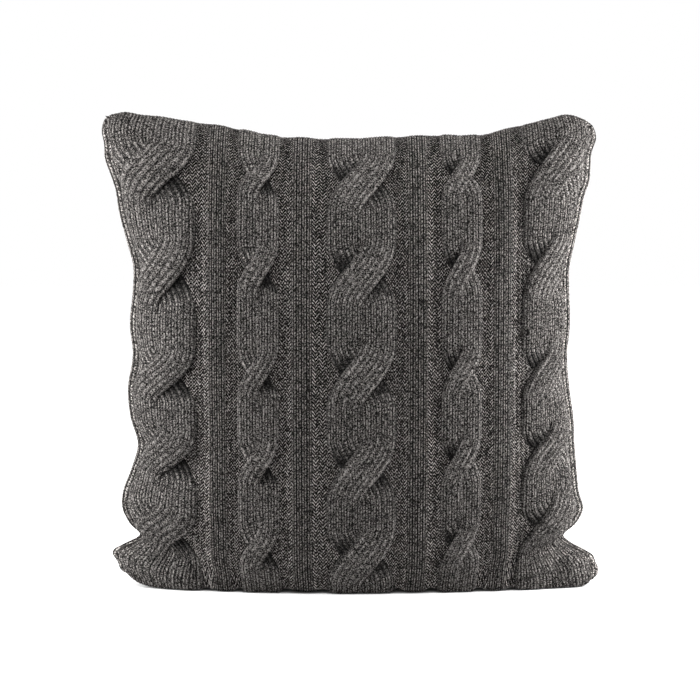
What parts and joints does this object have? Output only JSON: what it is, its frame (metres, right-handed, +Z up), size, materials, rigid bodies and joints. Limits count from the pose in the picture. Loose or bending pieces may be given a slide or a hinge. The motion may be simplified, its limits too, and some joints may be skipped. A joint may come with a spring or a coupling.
{
  "type": "throw pillow",
  "caption": "Square knitted throw cushion with corner ears, a zipped cover and a fibre-filled insert pad.",
  "frame": {"origin": "on the floor under the middle of the cushion, standing on its bottom edge", "axes": "+Z up, the cable-knit front faces -Y, +X to the right seen from the front"},
  "size_m": [0.452, 0.139, 0.437],
  "materials": {
    "cable_knit": "thick charcoal heather yarn, fuzzy, dry",
    "seam_yarn": "same yarn, plied",
    "zip_tape": "woven polyester tape",
    "zip_coil": "nylon monofilament coil",
    "zip_metal": "dark gunmetal enamel, satin",
    "thread": "spun polyester sewing thread",
    "ticking": "white plain-weave cotton",
    "fibre": "loose white polyester fibre",
    "satin_label": "white woven satin"
  },
  "bodies": {
    "cushion": {"cover_front_panel": "cable_knit", "cover_back_panel": "cable_knit", "cover_seam_yarn": "seam_yarn", "zip_tape_front": "zip_tape", "zip_tape_back": "zip_tape", "zip_coil_front": "zip_coil", "zip_coil_back": "zip_coil", "zip_top_stop_front": "zip_metal", "zip_top_stop_back": "zip_metal", "zip_bottom_stop": "zip_metal", "zip_stitch_front": "thread", "zip_stitch_back": "thread", "insert_front_panel": "ticking", "insert_back_panel": "ticking", "insert_seam_thread": "thread", "insert_label": "satin_label", "care_label": "satin_label", "fibre_filling": "fibre"},
    "slider": {"zip_slider": "zip_metal"},
    "pull": {"zip_pull": "zip_metal"}
  },
  "joints": [
    {"name": "zip_slide", "type": "slide", "parent": "cushion", "child": "slider", "axis": [-1, 0, 0], "range_m": [0, 0.309]},
    {"name": "pull_swing", "type": "hinge", "parent": "slider", "child": "pull", "pos_m": [0.1545, 0, 0.0141], "axis": [0, 1, 0], "range_deg": [-125, 38]}
  ]
}
